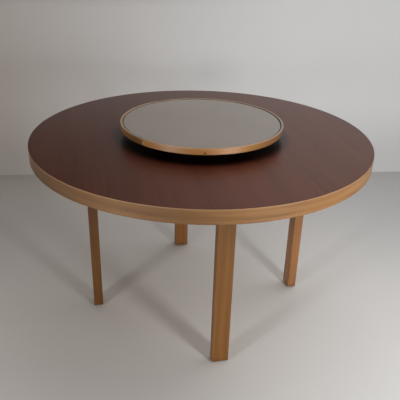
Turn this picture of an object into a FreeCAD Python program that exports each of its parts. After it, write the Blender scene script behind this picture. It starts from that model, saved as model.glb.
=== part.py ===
import FreeCAD, Part
import math
import os

import Sketcher

# Round dining table on four bent-knee legs, with a turntable on a captive ball ring.
# The origin is on the floor under the middle of the top, and the legs stand on the diagonals.

# Driving dimensions: name, value in millimetres, degrees or a count, and what it measures
SIZES = (
    ("top_diameter", 1250, "table top across"),
    ("table_height", 720, "floor to the top's surface"),
    ("edge_height", 50, "edge of the top, veneer included"),
    ("band_thickness", 15, "bent band round the core"),
    ("band_rounding", 2, "lower arrises of the band"),
    ("veneer_thickness", 1, "face veneer"),
    ("veneer_easing", 0.4, "eased arris of the face veneer"),
    ("backing_thickness", 1, "backing veneer under the core"),
    ("leg_count", 4, "legs round the top"),
    ("leg_turn", 45, "angle of the first leg from +X"),
    ("leg_circle", 418, "middle of the table to the middle of a leg"),
    ("leg_width", 60, "leg across its broad face"),
    ("leg_thickness", 36, "leg from inner to outer face"),
    ("leg_rounding", 2.5, "long arrises of a leg"),
    ("foot_chamfer", 1.5, "lower end of a leg"),
    ("knee_radius", 45, "inner face of the bend"),
    ("arm_length", 195, "straight arm under the top"),
    ("kerf_count", 5, "saw kerfs through the knee"),
    ("kerf_width", 1.5, "one saw kerf"),
    ("kerf_run", 22, "kerf below the bend"),
    ("glue_line", 0.1, "room for glue on each side of a kerf's veneer"),
    ("veneer_setback", 0.2, "knee veneer behind the leg's side faces"),
    ("arm_screw_inset", 30, "arm end to the first pair of screws"),
    ("arm_screw_pitch", 110, "one pair of screws to the next, along the arm"),
    ("arm_screw_spread", 28, "between the two screws of a pair"),
    ("arm_screw_diameter", 6, "leg screw shank"),
    ("arm_screw_head", 11, "leg screw head"),
    ("arm_screw_length", 58, "leg screw"),
    ("glide_diameter", 26, "foot glide"),
    ("glide_height", 4, "foot glide under the leg"),
    ("glide_rounding", 1.2, "lower arris of a glide"),
    ("glide_pin_diameter", 4, "nail of a glide"),
    ("glide_pin_length", 16, "nail of a glide"),
    ("base_diameter", 360, "turntable base disc"),
    ("base_thickness", 14, "turntable base disc"),
    ("base_rounding", 3, "arrises of the base"),
    ("access_diameter", 12, "screwdriver hole in the base"),
    ("pad_count", 6, "rubber pads under the base"),
    ("pad_circle", 150, "middle of the base to the middle of a pad"),
    ("pad_diameter", 28, "rubber pad"),
    ("pad_height", 8, "rubber pad"),
    ("pad_recess", 2, "seat of a pad in the base"),
    ("pad_taper", 1.5, "pad's foot smaller than its seat, on the radius"),
    ("race_radius", 65, "middle of the bearing to the middle of a ball"),
    ("ball_count", 24, "balls"),
    ("ball_diameter", 5, "ball"),
    ("race_gap", 1.2, "ball circle to the face of either ring"),
    ("ring_width", 14, "either bearing ring"),
    ("ring_height", 9, "either bearing ring"),
    ("ring_step", 1, "inner ring above the outer ring"),
    ("ring_easing", 0.5, "outer arrises of the rings"),
    ("cage_thickness", 1.2, "ball cage"),
    ("cage_height", 8, "ball cage"),
    ("ring_screw_count", 6, "screws in either ring"),
    ("ring_screw_diameter", 3.5, "ring screw shank"),
    ("ring_screw_head", 7, "ring screw head"),
    ("ring_screw_length", 18, "ring screw"),
    ("turntable_turn", 35.4, "angle of a rim screw from +X"),
    ("turntable_diameter", 600, "turntable across its rim"),
    ("rim_thickness", 8, "turntable rim"),
    ("rim_height", 23, "turntable rim"),
    ("rim_rounding", 1.5, "arrises of the rim"),
    ("panel_thickness", 14, "turntable panel"),
    ("rim_screw_count", 4, "screws through the rim"),
    ("rim_screw_diameter", 3, "rim screw shank"),
    ("rim_screw_head", 6, "rim screw head"),
    ("rim_screw_length", 24, "rim screw"),
    ("pane_thickness", 6, "pane"),
    ("pane_gap", 3, "pane to rim"),
    ("pane_bevel", 0.8, "polished arris of the pane"),
    ("pane_pad_count", 6, "pads under the pane"),
    ("pane_pad_circle", 220, "middle of the pane to the middle of a pad"),
    ("pane_pad_diameter", 18, "pad under the pane"),
    ("pane_pad_height", 1, "pad under the pane"),
    ("screw_clearance", 0.2, "round a screw in its hole"),
    ("pin_clearance", 0.05, "round a glide's nail"),
    ("tip_clearance", 1, "beyond the tip of a screw or nail"),
    ("pad_clearance", 0.3, "round a pad in its seat"),
    ("race_clearance", 0.3, "round a ball in race and cage"),
)

LEG_PLACES = ("back_right", "back_left", "front_left", "front_right")
FULL_TURN = 360
AXIS_GEOMETRY = {"DistanceX": -2, "DistanceY": -1}
ORIGIN_POINT = (-1, 1)
SAME_PLACE = 1e-4


class Size:
    """A size: its number now, and the sheet expression that gives it."""

    def __init__(self, number, text):
        self.number = number
        self.text = text

    def joined(self, sign, other, number):
        return Size(number, f"({self.text} {sign} {other.text})")

    def __add__(self, other):
        other = as_size(other)
        return self.joined("+", other, self.number + other.number)

    def __sub__(self, other):
        other = as_size(other)
        return self.joined("-", other, self.number - other.number)

    def __mul__(self, other):
        other = as_size(other)
        return self.joined("*", other, self.number * other.number)

    def __truediv__(self, other):
        other = as_size(other)
        return self.joined("/", other, self.number / other.number)

    def __neg__(self):
        return Size(-self.number, f"(-1 * {self.text})")

    def root(self):
        return Size(math.sqrt(self.number), f"sqrt({self.text})")


def as_size(value):
    return value if isinstance(value, Size) else Size(float(value), str(value))


class Sheet:
    """The document's sheet of driving dimensions; sheet.alias gives the size of that name."""

    def __init__(self, document):
        self.page = document.addObject("Spreadsheet::Sheet", "sizes")
        for row, (alias, value, meaning) in enumerate(SIZES, start=1):
            self.page.set(f"A{row}", meaning)
            self.page.set(f"B{row}", str(value))
            self.page.setAlias(f"B{row}", alias)
        document.recompute()

    def __getattr__(self, alias):
        return Size(float(self.page.get(alias)), f"sizes.{alias}")


doc = FreeCAD.newDocument("dining_table")
sheet = Sheet(doc)
nodes = []


def vector(place):
    return FreeCAD.Vector(as_size(place[0]).number, as_size(place[1]).number, 0)


def new_body(label, turn=None):
    """A sub-part, turned about the table's upright axis by the given size."""
    body = doc.addObject("PartDesign::Body", label)
    body.Label = label
    if turn is not None:
        upright = FreeCAD.Vector(0, 0, 1)
        body.Placement = FreeCAD.Placement(FreeCAD.Vector(), FreeCAD.Rotation(upright, turn.number))
        body.setExpression("Placement.Rotation.Angle", turn.text)
    nodes.append(body)
    return body


def origin_feature(body, role):
    return next(item for item in body.Origin.OriginFeatures if item.Role == role)


def new_sketch(body, role, lift=None):
    """A sketch on one of the body's origin planes, moved along that plane's normal by lift."""
    sketch = body.newObject("Sketcher::SketchObject", f"{body.Name}_sketch")
    sketch.AttachmentSupport = [(origin_feature(body, role), "")]
    sketch.MapMode = "FlatFace"
    if lift is not None:
        sketch.setExpression("AttachmentOffset.Base.z", lift.text)
    return sketch


def bind(sketch, constraint, size):
    row = sketch.addConstraint(constraint)
    sketch.setExpression(f"Constraints[{row}]", size.text)


def pin(sketch, item, point, place, kinds=("DistanceX", "DistanceY")):
    """Holds a sketch point at its distances from the origin."""
    for kind in kinds:
        size = as_size(place[0] if kind == "DistanceX" else place[1])
        if size.number == 0:
            axis = AXIS_GEOMETRY[kind]
            sketch.addConstraint(Sketcher.Constraint("PointOnObject", item, point, axis))
        elif size.number > 0:
            bind(sketch, Sketcher.Constraint(kind, *ORIGIN_POINT, item, point, size.number), size)
        else:
            size = -size
            bind(sketch, Sketcher.Constraint(kind, item, point, *ORIGIN_POINT, size.number), size)


def arc_between(start, end, centre):
    """The shorter arc from start to end, and whether it runs backwards along that way."""
    middle = vector(centre)
    first = vector(start) - middle
    last = vector(end) - middle
    backwards = first.cross(last).z < 0
    if backwards:
        first, last = last, first
    circle = Part.Circle(middle, FreeCAD.Vector(0, 0, 1), first.Length)
    angles = [math.atan2(spoke.y, spoke.x) for spoke in (first, last)]
    if angles[1] < angles[0]:
        angles[1] += math.tau
    return Part.ArcOfCircle(circle, *angles), backwards


def outline(sketch, corners, bends=None, closed=True):
    """Joins the corners by lines; bends gives the centre of an arc by the corner it starts from."""
    bends = bends or {}
    runs = []
    for index in range(len(corners) if closed else len(corners) - 1):
        start = corners[index]
        end = corners[(index + 1) % len(corners)]
        if index in bends:
            arc, backwards = arc_between(start, end, bends[index])
            item = sketch.addGeometry(arc, False)
            pin(sketch, item, 3, bends[index], kinds=("DistanceX",))
            runs.append((item, 2, 1) if backwards else (item, 1, 2))
        else:
            item = sketch.addGeometry(Part.LineSegment(vector(start), vector(end)), False)
            runs.append((item, 1, 2))
    for index, (item, start, end) in enumerate(runs):
        pin(sketch, item, start, corners[index])
        if closed or index + 1 < len(runs):
            after, after_start, _ = runs[(index + 1) % len(runs)]
            sketch.addConstraint(Sketcher.Constraint("Coincident", item, end, after, after_start))
        else:
            pin(sketch, item, end, corners[index + 1])


def circle(sketch, centre, radius):
    spot = Part.Circle(vector(centre), FreeCAD.Vector(0, 0, 1), radius.number)
    item = sketch.addGeometry(spot, False)
    bind(sketch, Sketcher.Constraint("Radius", item, radius.number), radius)
    pin(sketch, item, 3, centre)


def spin_axis(sketch, start, end):
    """A construction line that a profile is turned about."""
    line = sketch.addGeometry(Part.LineSegment(vector(start), vector(end)), True)
    pin(sketch, line, 1, start)
    pin(sketch, line, 2, end)
    return "Axis0"


def turned(body, sketch, axis="V_Axis", cut=False):
    """The profile turned once round its axis, added to the body or cut from it."""
    kind = "Groove" if cut else "Revolution"
    feature = body.newObject(f"PartDesign::{kind}", f"{body.Name}_{kind.lower()}")
    feature.Profile = sketch
    feature.ReferenceAxis = (sketch, [axis])
    feature.Angle = FULL_TURN
    doc.recompute()
    return feature


def pad(body, sketch, length, both_ways=False):
    feature = body.newObject("PartDesign::Pad", f"{body.Name}_pad")
    feature.Profile = sketch
    feature.SideType = "Symmetric" if both_ways else "One side"
    feature.setExpression("Length", length.text)
    doc.recompute()
    return feature


def pocket(body, sketch, length, upwards=False, both_ways=False):
    """A cut from the sketch against its normal, or along it when upwards."""
    feature = body.newObject("PartDesign::Pocket", f"{body.Name}_pocket")
    feature.Profile = sketch
    feature.SideType = "Symmetric" if both_ways else "One side"
    feature.Reversed = upwards
    feature.setExpression("Length", length.text)
    doc.recompute()
    return feature


def round_pattern(body, features, count):
    """Repeats the features evenly round the upright axis."""
    pattern = body.newObject("PartDesign::PolarPattern", f"{body.Name}_pattern")
    pattern.Originals = features
    pattern.Axis = (origin_feature(body, "Z_Axis"), [""])
    pattern.Angle = FULL_TURN
    pattern.setExpression("Occurrences", count.text)
    body.Tip = pattern
    doc.recompute()
    return pattern


def dress(body, kind, amount, chosen):
    """A Fillet or Chamfer on the edges of the body's last feature that chosen(edge) accepts."""
    base = body.Tip
    names = [f"Edge{number}" for number, edge in enumerate(base.Shape.Edges, start=1) if chosen(edge)]
    feature = body.newObject(f"PartDesign::{kind}", f"{body.Name}_{kind.lower()}")
    feature.Base = (base, names)
    feature.setExpression("Radius" if kind == "Fillet" else "Size", amount.text)
    doc.recompute()
    return feature


def same(one, other):
    return abs(one - other) < SAME_PLACE


def on_circle(radius, *heights):
    """Accepts whole round edges of that radius about the upright axis, at any of the heights."""

    def chosen(edge):
        middle = edge.BoundBox.Center
        at_height = any(same(middle.z, height.number) for height in heights)
        level = same(edge.BoundBox.ZLength, 0)
        return level and at_height and same(edge.BoundBox.XLength, 2 * radius.number)

    return chosen


def disc(body, radius, bottom, thickness):
    sketch = new_sketch(body, "XY_Plane", bottom)
    circle(sketch, (0, 0), radius)
    return pad(body, sketch, thickness)


def ring(body, inner, outer, bottom, top):
    sketch = new_sketch(body, "XZ_Plane")
    outline(sketch, ((inner, bottom), (outer, bottom), (outer, top), (inner, top)))
    return turned(body, sketch)


class Screw:
    """A countersunk wood screw: shank, head and length, with a point as long as the shank is thick."""

    def __init__(self, name):
        self.shank = getattr(sheet, f"{name}_diameter") / 2
        self.head = getattr(sheet, f"{name}_head") / 2
        self.length = getattr(sheet, f"{name}_length")
        self.sink = self.head - self.shank

    def profile(self, sketch, head, way, room=None):
        """Half the screw's outline from the middle of its head; with room, the hole it goes in."""
        room = as_size(0) if room is None else room
        shank = self.shank + room
        flare = self.head + room
        end = self.length + (sheet.tip_clearance if room.number else 0)
        taper_start = end - shank * 2
        half = ((0, 0), (0, flare), (self.sink, shank), (taper_start, shank), (end, 0))
        corners = [step(head, way, along, off) for along, off in half]
        outline(sketch, corners)
        return spin_axis(sketch, corners[0], corners[-1])

    def made(self, body, plane_shift, head, way, room=None):
        """The screw added to the body, or with room its hole cut from it."""
        sketch = new_sketch(body, "XZ_Plane", plane_shift)
        axis = self.profile(sketch, head, way, room)
        return turned(body, sketch, axis, cut=room is not None)


def step(head, way, along, off):
    """A point along the screw from its head and off its axis, for a screw that points up, down or in."""
    reach, height = head
    if way == "in":
        return reach - along, height + off
    return reach + off, (height + along if way == "up" else height - along)


arm_screw = Screw("arm_screw")
ring_screw = Screw("ring_screw")
rim_screw = Screw("rim_screw")

# Levels and radii of the top
half_top = sheet.top_diameter / 2
band_inner = half_top - sheet.band_thickness
veneer_bottom = sheet.table_height - sheet.veneer_thickness
underside = sheet.table_height - sheet.edge_height
core_bottom = underside + sheet.backing_thickness

# The leg's bend, in the upright plane through the leg: the centre of the knee and the arm's end
arm_bottom = underside - sheet.leg_thickness
knee_x = sheet.leg_circle - sheet.leg_thickness / 2 - sheet.knee_radius
knee_z = arm_bottom - sheet.knee_radius
knee_middle = sheet.knee_radius + sheet.leg_thickness / 2
knee_outer = sheet.knee_radius + sheet.leg_thickness
arm_end = knee_x - sheet.arm_length
kerf_bottom = knee_z - sheet.kerf_run
lamella = (sheet.leg_thickness - sheet.kerf_count * sheet.kerf_width) / (sheet.kerf_count + 1)

# Levels and radii of the turntable, stacked up from the table's surface
base_bottom = sheet.table_height + sheet.pad_height - sheet.pad_recess
base_top = base_bottom + sheet.base_thickness
inner_ring_bottom = base_top + sheet.ring_step
outer_ring_top = base_top + sheet.ring_height
tray_bottom = inner_ring_bottom + sheet.ring_height
ball_level = (base_top + tray_bottom) / 2
outer_race = sheet.race_radius + sheet.race_gap
inner_race = sheet.race_radius - sheet.race_gap
outer_screw_circle = outer_race + sheet.ring_width / 2
inner_screw_circle = inner_race - sheet.ring_width / 2
half_tray = sheet.turntable_diameter / 2
rim_inner = half_tray - sheet.rim_thickness
rim_top = tray_bottom + sheet.rim_height
panel_top = tray_bottom + sheet.panel_thickness
rim_screw_level = tray_bottom + sheet.panel_thickness / 2
pane_bottom = panel_top + sheet.pane_pad_height
pane_radius = rim_inner - sheet.pane_gap


def arm_screw_places():
    """Reach from the middle of the table and shift to one side, for each screw of one arm."""
    first = arm_end + sheet.arm_screw_inset
    aside = sheet.arm_screw_spread / 2
    return [(reach, shift) for reach in (first, first + sheet.arm_screw_pitch) for shift in (aside, -aside)]


def arm_screw_circles(body, level):
    """Round holes for the screws of one arm."""
    sketch = new_sketch(body, "XY_Plane", level)
    for place in arm_screw_places():
        circle(sketch, place, arm_screw.shank + sheet.screw_clearance)
    return sketch


def make_top():
    core = new_body("top_core", sheet.leg_turn)
    disc(core, band_inner, core_bottom, veneer_bottom - core_bottom)
    bite = arm_bottom + arm_screw.length - core_bottom
    holes = pocket(core, arm_screw_circles(core, core_bottom), bite + sheet.tip_clearance, upwards=True)
    round_pattern(core, [holes], sheet.leg_count)

    backing = new_body("backing_veneer", sheet.leg_turn)
    disc(backing, band_inner, underside, sheet.backing_thickness)
    holes = pocket(backing, arm_screw_circles(backing, core_bottom), sheet.backing_thickness)
    round_pattern(backing, [holes], sheet.leg_count)

    band = new_body("edge_band")
    ring(band, band_inner, half_top, underside, veneer_bottom)
    dress(band, "Fillet", sheet.band_rounding, on_circle(half_top, underside))

    veneer = new_body("top_veneer")
    disc(veneer, half_top, veneer_bottom, sheet.veneer_thickness)
    dress(veneer, "Chamfer", sheet.veneer_easing, on_circle(half_top, sheet.table_height))


def bent_strip(sketch, outer, inner, foot, end):
    """A strip that runs up, round the knee and along the arm, between two radii about the knee."""
    outline(
        sketch,
        (
            (knee_x + outer, foot),
            (knee_x + outer, knee_z),
            (knee_x, knee_z + outer),
            (end, knee_z + outer),
            (end, knee_z + inner),
            (knee_x, knee_z + inner),
            (knee_x + inner, knee_z),
            (knee_x + inner, foot),
        ),
        {1: (knee_x, knee_z), 5: (knee_x, knee_z)},
    )


def kerf_strips(sketch, room, end):
    """One strip for each saw kerf, with room left on its two sides and at its foot."""
    for index in range(round(sheet.kerf_count.number)):
        outer = knee_outer - lamella * (index + 1) - sheet.kerf_width * index
        inner = outer - sheet.kerf_width
        bent_strip(sketch, outer - room, inner + room, kerf_bottom + room, end)


def leg_section(sketch):
    """The leg's section: a rectangle with rounded arrises, its thickness pointing outwards."""
    deep = sheet.leg_thickness / 2
    wide = sheet.leg_width / 2
    soft = sheet.leg_rounding
    inner, outer = sheet.leg_circle - deep, sheet.leg_circle + deep
    low, high = -wide, wide
    outline(
        sketch,
        (
            (inner + soft, low),
            (outer - soft, low),
            (outer, low + soft),
            (outer, high - soft),
            (outer - soft, high),
            (inner + soft, high),
            (inner, high - soft),
            (inner, low + soft),
        ),
        {
            1: (outer - soft, low + soft),
            3: (outer - soft, high - soft),
            5: (inner + soft, high - soft),
            7: (inner + soft, low + soft),
        },
    )


def make_leg(place, turn):
    leg = new_body(f"leg_{place}", turn)
    section = new_sketch(leg, "XY_Plane", sheet.glide_height)
    leg_section(section)
    path = new_sketch(leg, "XZ_Plane")
    arm_middle = knee_z + knee_middle
    corners = (
        (sheet.leg_circle, sheet.glide_height),
        (sheet.leg_circle, knee_z),
        (knee_x, arm_middle),
        (arm_end, arm_middle),
    )
    outline(path, corners, {1: (knee_x, knee_z)}, closed=False)
    bend = leg.newObject("PartDesign::AdditivePipe", f"{leg.Name}_bend")
    bend.Profile = section
    bend.Spine = (path, ["Edge1", "Edge2", "Edge3"])
    doc.recompute()

    dress(leg, "Chamfer", sheet.foot_chamfer, lambda edge: same(edge.BoundBox.ZMax, sheet.glide_height.number))

    nail = new_sketch(leg, "XY_Plane", sheet.glide_height)
    circle(nail, (sheet.leg_circle, 0), sheet.glide_pin_diameter / 2 + sheet.pin_clearance)
    pocket(leg, nail, sheet.glide_pin_length + sheet.tip_clearance, upwards=True)

    for reach, shift in arm_screw_places():
        arm_screw.made(leg, shift, (reach, arm_bottom), "up", sheet.screw_clearance)

    kerfs = new_sketch(leg, "XZ_Plane")
    kerf_strips(kerfs, as_size(0), arm_end - sheet.leg_rounding)
    pocket(leg, kerfs, sheet.leg_width * 2, both_ways=True)


def make_knee_veneers(place, turn):
    veneers = new_body(f"knee_veneers_{place}", turn)
    sketch = new_sketch(veneers, "XZ_Plane")
    kerf_strips(sketch, sheet.glue_line, arm_end)
    pad(veneers, sketch, sheet.leg_width - sheet.veneer_setback * 2, both_ways=True)
    pocket(veneers, arm_screw_circles(veneers, underside), sheet.leg_thickness)


def make_leg_hardware():
    screws = new_body("leg_screws", sheet.leg_turn)
    made = [
        arm_screw.made(screws, shift, (reach, arm_bottom), "up") for reach, shift in arm_screw_places()
    ]
    round_pattern(screws, made, sheet.leg_count)

    glides = new_body("foot_glides", sheet.leg_turn)
    sketch = new_sketch(glides, "XZ_Plane")
    wide = sheet.leg_circle + sheet.glide_diameter / 2
    nail = sheet.leg_circle + sheet.glide_pin_diameter / 2
    tip = sheet.glide_height + sheet.glide_pin_length
    outline(
        sketch,
        (
            (sheet.leg_circle, 0),
            (wide - sheet.glide_rounding, 0),
            (wide, sheet.glide_rounding),
            (wide, sheet.glide_height),
            (nail, sheet.glide_height),
            (nail, tip - sheet.glide_pin_diameter),
            (sheet.leg_circle, tip),
        ),
        {1: (wide - sheet.glide_rounding, sheet.glide_rounding)},
    )
    axis = spin_axis(sketch, (sheet.leg_circle, 0), (sheet.leg_circle, tip))
    round_pattern(glides, [turned(glides, sketch, axis)], sheet.leg_count)


def make_base():
    base = new_body("turntable_base")
    half_base = sheet.base_diameter / 2
    disc(base, half_base, base_bottom, sheet.base_thickness)
    dress(base, "Fillet", sheet.base_rounding, on_circle(half_base, base_bottom, base_top))
    seat = new_sketch(base, "XY_Plane", base_bottom)
    circle(seat, (sheet.pad_circle, 0), sheet.pad_diameter / 2 + sheet.pad_clearance)
    seats = pocket(base, seat, sheet.pad_recess, upwards=True)
    round_pattern(base, [seats], sheet.pad_count)
    hole = ring_screw.made(base, None, (outer_screw_circle, outer_ring_top), "down", sheet.screw_clearance)
    round_pattern(base, [hole], sheet.ring_screw_count)
    access = new_sketch(base, "XY_Plane", base_top)
    circle(access, (inner_screw_circle, 0), sheet.access_diameter / 2)
    pocket(base, access, sheet.base_thickness)

    pads = new_body("base_pads")
    sketch = new_sketch(pads, "XZ_Plane")
    seat_edge = sheet.pad_circle + sheet.pad_diameter / 2
    pad_top = base_bottom + sheet.pad_recess
    outline(
        sketch,
        (
            (sheet.pad_circle, sheet.table_height),
            (seat_edge - sheet.pad_taper, sheet.table_height),
            (seat_edge, base_bottom),
            (seat_edge, pad_top),
            (sheet.pad_circle, pad_top),
        ),
    )
    axis = spin_axis(sketch, (sheet.pad_circle, sheet.table_height), (sheet.pad_circle, pad_top))
    round_pattern(pads, [turned(pads, sketch, axis)], sheet.pad_count)


def make_race(label, face, back, bottom, turn=None):
    """A bearing ring between its race face and its back, with a round groove for the balls."""
    race = new_body(label, turn)
    sketch = new_sketch(race, "XZ_Plane")
    groove = sheet.ball_diameter / 2 + sheet.race_clearance
    half_mouth = (groove * groove - sheet.race_gap * sheet.race_gap).root()
    top = bottom + sheet.ring_height
    outline(
        sketch,
        (
            (back, bottom),
            (back, top),
            (face, top),
            (face, ball_level + half_mouth),
            (face, ball_level - half_mouth),
            (face, bottom),
        ),
        {3: (sheet.race_radius, ball_level)},
    )
    turned(race, sketch)
    dress(race, "Chamfer", sheet.ring_easing, on_circle(back, bottom, top))
    return race


def make_bearing():
    outer = make_race("bearing_outer_ring", outer_race, outer_race + sheet.ring_width, base_top)
    outer_head = (outer_screw_circle, outer_ring_top)
    hole = ring_screw.made(outer, None, outer_head, "down", sheet.screw_clearance)
    round_pattern(outer, [hole], sheet.ring_screw_count)
    outer_screws = new_body("outer_ring_screws")
    first = ring_screw.made(outer_screws, None, outer_head, "down")
    round_pattern(outer_screws, [first], sheet.ring_screw_count)

    inner_back = inner_race - sheet.ring_width
    inner = make_race("bearing_inner_ring", inner_race, inner_back, inner_ring_bottom, sheet.turntable_turn)
    inner_head = (inner_screw_circle, inner_ring_bottom)
    hole = ring_screw.made(inner, None, inner_head, "up", sheet.screw_clearance)
    round_pattern(inner, [hole], sheet.ring_screw_count)
    inner_screws = new_body("inner_ring_screws", sheet.turntable_turn)
    first = ring_screw.made(inner_screws, None, inner_head, "up")
    round_pattern(inner_screws, [first], sheet.ring_screw_count)

    balls = new_body("bearing_balls")
    sketch = new_sketch(balls, "XZ_Plane")
    radius = sheet.ball_diameter / 2
    poles = ((sheet.race_radius, ball_level - radius), (sheet.race_radius, ball_level + radius))
    equator = (sheet.race_radius + radius, ball_level)
    middle = (sheet.race_radius, ball_level)
    outline(sketch, (poles[0], equator, poles[1]), {0: middle, 1: middle})
    axis = spin_axis(sketch, *poles)
    round_pattern(balls, [turned(balls, sketch, axis)], sheet.ball_count)

    cage = new_body("ball_cage")
    half_cage = sheet.cage_height / 2
    half_wall = sheet.cage_thickness / 2
    ring(
        cage,
        sheet.race_radius - half_wall,
        sheet.race_radius + half_wall,
        ball_level - half_cage,
        ball_level + half_cage,
    )
    window = new_sketch(cage, "YZ_Plane", sheet.race_radius + sheet.cage_thickness)
    circle(window, (0, ball_level), radius + sheet.race_clearance)
    windows = pocket(cage, window, sheet.cage_thickness * 2)
    round_pattern(cage, [windows], sheet.ball_count)


def make_turntable():
    panel = new_body("turntable_panel", sheet.turntable_turn)
    disc(panel, rim_inner, tray_bottom, sheet.panel_thickness)
    inner_head = (inner_screw_circle, inner_ring_bottom)
    hole = ring_screw.made(panel, None, inner_head, "up", sheet.screw_clearance)
    round_pattern(panel, [hole], sheet.ring_screw_count)
    rim_head = (half_tray, rim_screw_level)
    hole = rim_screw.made(panel, None, rim_head, "in", sheet.screw_clearance)
    round_pattern(panel, [hole], sheet.rim_screw_count)

    rim = new_body("turntable_rim", sheet.turntable_turn)
    ring(rim, rim_inner, half_tray, tray_bottom, rim_top)
    outer_arrises = on_circle(half_tray, tray_bottom, rim_top)
    inner_arris = on_circle(rim_inner, rim_top)
    dress(rim, "Fillet", sheet.rim_rounding, lambda edge: outer_arrises(edge) or inner_arris(edge))
    hole = rim_screw.made(rim, None, rim_head, "in", sheet.screw_clearance)
    round_pattern(rim, [hole], sheet.rim_screw_count)

    screws = new_body("rim_screws", sheet.turntable_turn)
    first = rim_screw.made(screws, None, rim_head, "in")
    round_pattern(screws, [first], sheet.rim_screw_count)

    pads = new_body("pane_pads")
    spot = new_sketch(pads, "XY_Plane", panel_top)
    circle(spot, (sheet.pane_pad_circle, 0), sheet.pane_pad_diameter / 2)
    round_pattern(pads, [pad(pads, spot, sheet.pane_pad_height)], sheet.pane_pad_count)

    pane = new_body("turntable_pane")
    disc(pane, pane_radius, pane_bottom, sheet.pane_thickness)
    pane_top = pane_bottom + sheet.pane_thickness
    dress(pane, "Chamfer", sheet.pane_bevel, on_circle(pane_radius, pane_bottom, pane_top))


def write_nodes():
    """Stops on any failed feature or bad shape, then writes one file for each sub-part."""
    doc.recompute()
    for item in doc.Objects:
        if "Invalid" in item.State or "Error" in item.State:
            raise RuntimeError(f"{item.Label} failed: {item.State}")
    for body in nodes:
        if body.Shape.isNull() or not body.Shape.isValid():
            raise RuntimeError(f"{body.Label} has no valid shape")
    os.makedirs("parts", exist_ok=True)
    for body in nodes:
        body.Shape.exportStep(f"parts/{body.Label}.step")
        print(f"{body.Label}: {len(body.Shape.Solids)} solids, {body.Shape.Volume / 1000:.1f} cm3")


make_top()
for number, leg_place in enumerate(LEG_PLACES):
    leg_angle = sheet.leg_turn + as_size(FULL_TURN) / sheet.leg_count * number
    make_leg(leg_place, leg_angle)
    make_knee_veneers(leg_place, leg_angle)
make_leg_hardware()
make_base()
make_bearing()
make_turntable()
write_nodes()
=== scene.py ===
import math
from typing import NamedTuple

import bpy
import numpy as np
from bpy.props import FloatProperty, FloatVectorProperty, PointerProperty
from mathutils import Matrix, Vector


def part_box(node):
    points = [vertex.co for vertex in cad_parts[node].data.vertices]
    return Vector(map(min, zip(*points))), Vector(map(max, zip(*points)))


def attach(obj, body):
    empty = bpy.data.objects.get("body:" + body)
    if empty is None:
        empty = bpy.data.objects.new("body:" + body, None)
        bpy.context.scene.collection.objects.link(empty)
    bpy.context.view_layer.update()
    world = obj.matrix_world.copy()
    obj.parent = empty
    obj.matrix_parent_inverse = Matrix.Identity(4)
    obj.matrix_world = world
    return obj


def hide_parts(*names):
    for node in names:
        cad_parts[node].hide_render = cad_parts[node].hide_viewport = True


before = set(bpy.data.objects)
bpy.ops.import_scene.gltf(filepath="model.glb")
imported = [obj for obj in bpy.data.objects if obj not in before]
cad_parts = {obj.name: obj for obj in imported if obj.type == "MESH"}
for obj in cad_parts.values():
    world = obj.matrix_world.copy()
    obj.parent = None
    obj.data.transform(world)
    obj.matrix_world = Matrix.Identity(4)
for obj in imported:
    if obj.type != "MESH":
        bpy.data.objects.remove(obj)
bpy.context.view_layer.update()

bl_info = {
    "name": "Round dining table with turntable",
    "version": (1, 0, 0),
    "blender": (4, 5, 0),
    "location": "3D View > Sidebar > Dining table",
    "description": "Veneers, honey wood, glass and screws for the packed table, with its floor, lamps and camera",
    "category": "Object",
}

MM = 0.001


# Places of the CAD nodes, in metres

def low(node, axis):
    """Lowest reach of a CAD node along an axis, 0 to 2 for X to Z."""
    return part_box(node)[0][axis]


def high(node, axis):
    """Highest reach of a CAD node along an axis."""
    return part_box(node)[1][axis]


TOP_RADIUS = high("edge_band", 0)
UNDERSIDE = low("edge_band", 2)
VENEER_UNDERSIDE = low("top_veneer", 2)
ARM_UNDERSIDE = low("leg_screws", 2)
RIM_RADIUS = high("turntable_rim", 0)
RIM_BOTTOM = low("turntable_rim", 2)
RIM_TOP = high("turntable_rim", 2)
RIM_SCREW_LEVEL = (low("rim_screws", 2) + high("rim_screws", 2)) / 2
PANE_RADIUS = high("turntable_pane", 0)


# Figure of the woods

class Figure(NamedTuple):
    """One layer of a wood's figure, drawn by noise.

    Cycles per metre across and along the grain, detail and roughness of the noise, its share of the
    tone, and how many cycles the sway of the grain bends it by.
    """
    across: float
    along: float
    detail: float
    roughness: float = 0.5
    share: float = 0.0
    bend: float = 0.0


class Lacquer(NamedTuple):
    """How much of the fine grain shows in a lacquer's roughness and in its relief."""
    spread: float
    relief: float


GRAIN_HEIGHT = 0.2 * MM

VENEER_SWAY = Figure(3.0, 1.6, 1.0)
VENEER_RIBBON = Figure(17.0, 0.6, 2.0, share=0.65)
VENEER_STREAK = Figure(95.0, 1.5, 3.0, 0.6, share=0.6)
VENEER_FINE = Figure(620.0, 7.0, 2.0, 0.6, share=0.35)
VENEER_PORE = Figure(1500.0, 55.0, 1.0)
VENEER_SWAY_REACH = 35.0 * MM
VENEER_TONE_DROP = 0.33
VENEER_SPECULAR = 0.26
VENEER_LACQUER = Lacquer(0.12, 0.06)
LEAF_SHIFT = 7.31
LEAF_SHARE = 0.06
PORE_EDGE = (0.60, 0.72)
PORE_TINT = 0.55
PORE_DEPTH = 0.5
# Painted light: the top is paler towards its lit side and deeper on its dim side.
LIT_SIDE_EDGE = (-0.55, 0.35)
# Painted shadow of the turntable: deep from 10 mm inside its rim, fading out 40 mm outside it.
TURNTABLE_SHADOW_EDGE = (RIM_RADIUS - 10.0 * MM, RIM_RADIUS + 40.0 * MM)

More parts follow.
